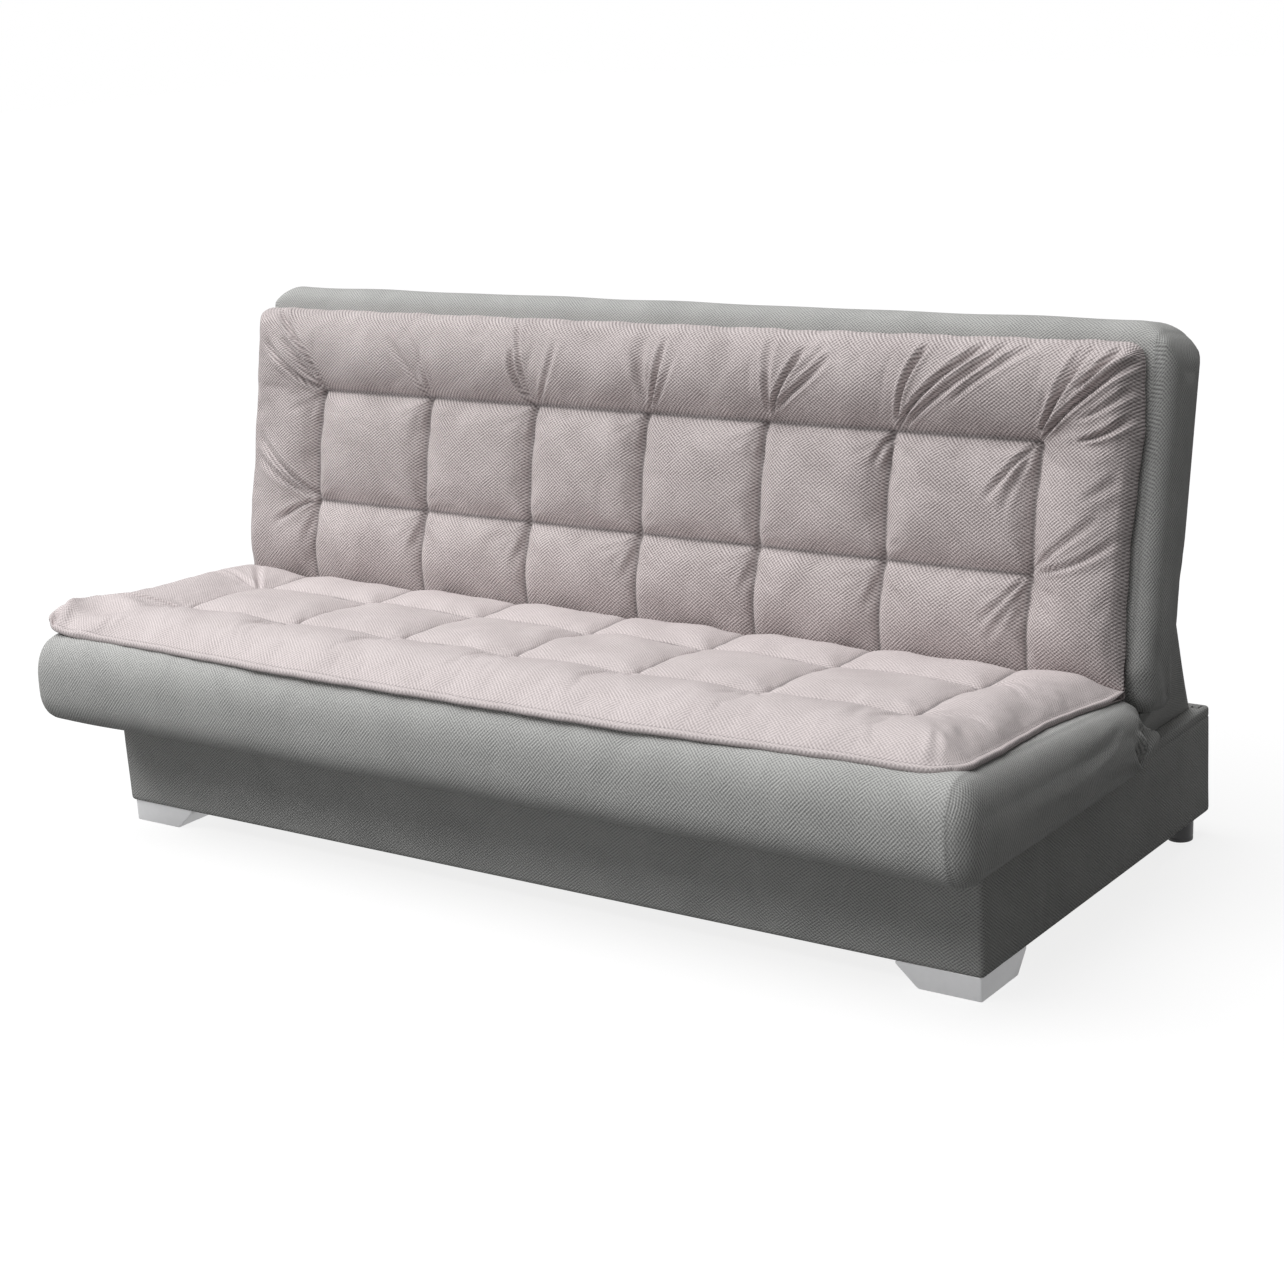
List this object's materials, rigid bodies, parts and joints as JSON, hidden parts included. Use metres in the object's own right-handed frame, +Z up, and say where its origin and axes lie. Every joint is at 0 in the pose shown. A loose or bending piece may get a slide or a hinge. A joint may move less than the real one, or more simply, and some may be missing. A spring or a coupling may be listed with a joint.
{
  "type": "click clack sofa bed",
  "caption": "Armless three-seat click clack sofa bed: tufted seat and back pads on a fabric storage box, a seat that lifts and a back that folds down flat.",
  "frame": {"origin": "middle of the footprint, on the floor, with the back in its sitting position", "axes": "+X along the sofa, to its own left end as one sits in it; +Y from the front to the rear; +Z up"},
  "size_m": [1.92, 0.9594, 0.9132],
  "materials": {
    "grey_fabric": "woven, matt",
    "rose_fabric": "woven, soft sheen",
    "lining_cloth": "spun cloth, matt",
    "spring_felt": "felt, matt",
    "chipboard": "sanded board",
    "pine": "planed",
    "zinc_steel": "zinc plated, satin",
    "bolt_steel": "zinc plated, bright",
    "silver_plastic": "silver lacquer, satin",
    "black_plastic": "moulded, satin"
  },
  "bodies": {
    "base": {"box_cover": "grey_fabric", "front_board": "chipboard", "rear_board": "chipboard", "side_board_right": "chipboard", "side_board_left": "chipboard", "floor_batten_right": "pine", "floor_batten_left": "pine", "floor_batten_middle": "pine", "floor_panel": "chipboard", "corner_block_front_right": "pine", "corner_block_front_left": "pine", "corner_block_rear_right": "pine", "corner_block_rear_left": "pine", "front_foot_right": "silver_plastic", "front_foot_left": "silver_plastic", "rear_foot_right": "black_plastic", "rear_foot_left": "black_plastic", "box_bracket_right": "zinc_steel", "box_bracket_left": "zinc_steel", "seat_pivot_bolt_right": "bolt_steel", "seat_pivot_bolt_left": "bolt_steel", "back_pivot_bolt_right": "bolt_steel", "back_pivot_bolt_left": "bolt_steel", "pawl_pin_right": "bolt_steel", "pawl_pin_left": "bolt_steel", "rear_skirt": "grey_fabric"},
    "seat": {"seat_body": "grey_fabric", "seat_lining": "lining_cloth", "seat_rail_front": "pine", "seat_rail_rear": "pine", "seat_rail_side_right": "pine", "seat_rail_side_left": "pine", "seat_rail_middle": "pine", "seat_spring_unit": "spring_felt", "seat_arm_right": "zinc_steel", "seat_arm_left": "zinc_steel", "seat_pad": "rose_fabric"},
    "back": {"back_body": "grey_fabric", "back_rear_cover": "grey_fabric", "back_rail_bottom": "pine", "back_rail_top": "pine", "back_rail_side_right": "pine", "back_rail_side_left": "pine", "back_rail_middle": "pine", "back_spring_unit": "spring_felt", "back_arm_right": "zinc_steel", "back_arm_left": "zinc_steel", "back_pad": "rose_fabric"},
    "pawl_right": {"pawl_right": "zinc_steel"},
    "pawl_left": {"pawl_left": "zinc_steel"}
  },
  "joints": [
    {"name": "seat_lift", "type": "hinge", "parent": "base", "child": "seat", "pos_m": [0, 0.07966, 0.33], "axis": [-1, 0, 0], "range_deg": [0, 35]},
    {"name": "back_recline", "type": "hinge", "parent": "base", "child": "back", "pos_m": [0, 0.12466, 0.326], "axis": [-1, 0, 0], "range_deg": [0, 77.5], "deforming": ["rear_skirt"]},
    {"name": "pawl_right_release", "type": "hinge", "parent": "base", "child": "pawl_right", "pos_m": [0.8521, 0.15266, 0.262], "axis": [1, 0, 0], "range_deg": [0, 46.5]},
    {"name": "pawl_left_release", "type": "hinge", "parent": "base", "child": "pawl_left", "pos_m": [-0.8521, 0.15266, 0.262], "axis": [1, 0, 0], "range_deg": [0, 46.5]}
  ],
  "couplings": [
    {"joint": "pawl_right_release", "follows": "back_recline", "ratio": 0.6},
    {"joint": "pawl_left_release", "follows": "back_recline", "ratio": 0.6}
  ]
}
